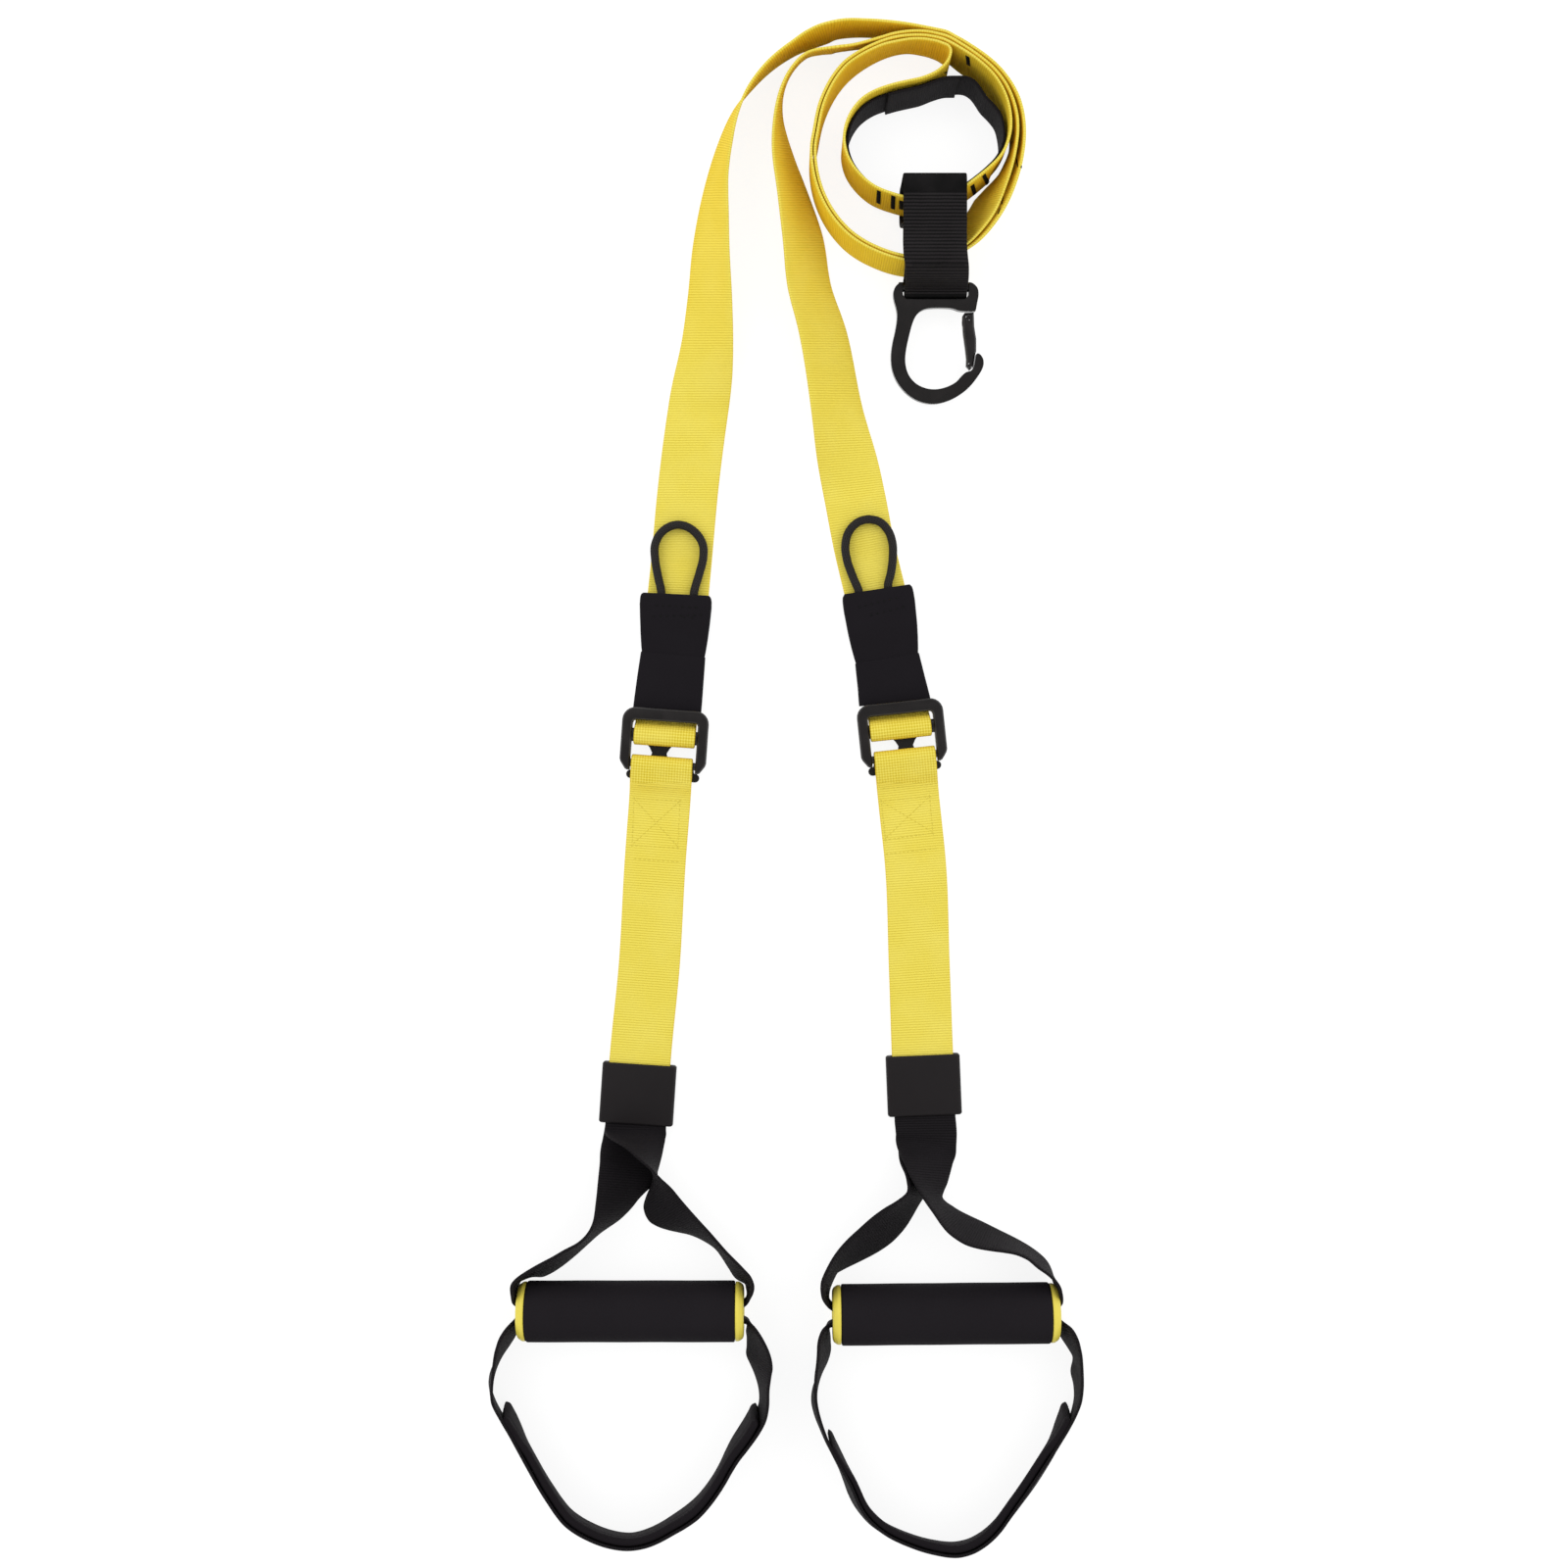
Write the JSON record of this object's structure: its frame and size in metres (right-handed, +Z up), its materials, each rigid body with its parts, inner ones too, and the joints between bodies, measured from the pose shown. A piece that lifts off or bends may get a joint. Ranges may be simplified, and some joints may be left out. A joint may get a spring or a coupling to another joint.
{
  "type": "suspension trainer",
  "caption": "Suspension trainer laid flat: looped yellow webbing strap with a black carabiner, cam buckles, and foam-grip handles with padded foot cradles.",
  "frame": {"origin": "centre of the bounding box's underside, on the floor that the trainer lies on", "axes": "+X across the trainer towards the picture's right, +Y along it from the foot cradles to the coiled strap, +Z up from the floor"},
  "size_m": [0.3676, 0.9486, 0.0436],
  "materials": {
    "webbing_yellow": "matte ribbed weave",
    "webbing_black": "matte ribbed weave",
    "coated_metal": "satin black coating",
    "spring_steel": "plain drawn wire",
    "label_rubber": "matte moulded",
    "grip_foam": "matte foam",
    "grip_tube": "matte tube",
    "end_cap": "satin moulded"
  },
  "bodies": {
    "root": {"main_strap": "webbing_yellow", "anchor_lining": "webbing_black", "lining_hem": "webbing_black", "anchor_sling": "webbing_black", "left_adjuster_sleeve": "webbing_black", "right_adjuster_sleeve": "webbing_black", "left_pull_cord": "webbing_black", "right_pull_cord": "webbing_black", "left_buckle_frame": "coated_metal", "right_buckle_frame": "coated_metal", "left_lever_pin": "spring_steel", "right_lever_pin": "spring_steel", "left_lever_spring": "spring_steel", "right_lever_spring": "spring_steel"},
    "carabiner": {"carabiner_body": "coated_metal", "gate_pin": "coated_metal"},
    "gate": {"carabiner_gate": "coated_metal", "catch_pin": "coated_metal", "gate_spring": "spring_steel"},
    "left_lever": {"left_cam_lever": "coated_metal"},
    "left_handle": {"left_handle_strap": "webbing_yellow", "left_rubber_label": "label_rubber", "left_handle_loop": "webbing_black"},
    "left_grip": {"left_grip_foam": "grip_foam", "left_grip_core": "grip_tube", "left_cap_left": "end_cap", "left_cap_right": "end_cap"},
    "left_cradle": {"left_cradle_strap": "webbing_black", "left_cradle_pad": "webbing_black"},
    "right_lever": {"right_cam_lever": "coated_metal"},
    "right_handle": {"right_handle_strap": "webbing_yellow", "right_rubber_label": "label_rubber", "right_handle_loop": "webbing_black"},
    "right_grip": {"right_grip_foam": "grip_foam", "right_grip_core": "grip_tube", "right_cap_left": "end_cap", "right_cap_right": "end_cap"},
    "right_cradle": {"right_cradle_strap": "webbing_black", "right_cradle_pad": "webbing_black"}
  },
  "joints": [
    {"name": "carabiner_turn", "type": "hinge", "parent": "root", "child": "carabiner", "pos_m": [0.09385, 0.31336, 0.01401], "axis": [1, 0, 0], "range_deg": [-55, 0]},
    {"name": "gate_turn", "type": "hinge", "parent": "carabiner", "child": "gate", "pos_m": [0.11461, 0.29467, 0.01138], "axis": [0, -0.1394, 0.9902], "range_deg": [-27, 0], "stiffness_Nm_per_rad": 0.03, "springref_deg": 22.92},
    {"name": "left_lever_turn", "type": "hinge", "parent": "root", "child": "left_lever", "pos_m": [-0.07424, 0.01875, 0.00261], "axis": [0.9976, -0.0698, 0], "range_deg": [-7, 0], "stiffness_Nm_per_rad": 0.05, "springref_deg": 17.19},
    {"name": "left_handle_turn", "type": "hinge", "parent": "root", "child": "left_handle", "pos_m": [-0.07426, 0.01846, 0.01001], "axis": [0.9976, -0.0698, 0], "range_deg": [-40, 0]},
    {"name": "left_grip_turn", "type": "hinge", "parent": "left_handle", "child": "left_grip", "pos_m": [-0.09318, -0.31808, 0.01841], "axis": [1, 0, 0], "continuous": true},
    {"name": "left_cradle_turn", "type": "hinge", "parent": "left_handle", "child": "left_cradle", "pos_m": [-0.09318, -0.31808, 0.01841], "axis": [1, 0, 0], "range_deg": [-35, 0]},
    {"name": "right_lever_turn", "type": "hinge", "parent": "root", "child": "right_lever", "pos_m": [0.07549, 0.02361, 0.00261], "axis": [0.9945, 0.1045, 0], "range_deg": [-7, 0], "stiffness_Nm_per_rad": 0.05, "springref_deg": 17.19},
    {"name": "right_handle_turn", "type": "hinge", "parent": "root", "child": "right_handle", "pos_m": [0.07553, 0.02331, 0.01001], "axis": [0.9945, 0.1045, 0], "range_deg": [-40, 0]},
    {"name": "right_grip_turn", "type": "hinge", "parent": "right_handle", "child": "right_grip", "pos_m": [0.10014, -0.31965, 0.01841], "axis": [1, 0.0087, 0], "continuous": true},
    {"name": "right_cradle_turn", "type": "hinge", "parent": "right_handle", "child": "right_cradle", "pos_m": [0.10014, -0.31965, 0.01841], "axis": [1, 0.0087, 0], "range_deg": [-35, 0]}
  ]
}
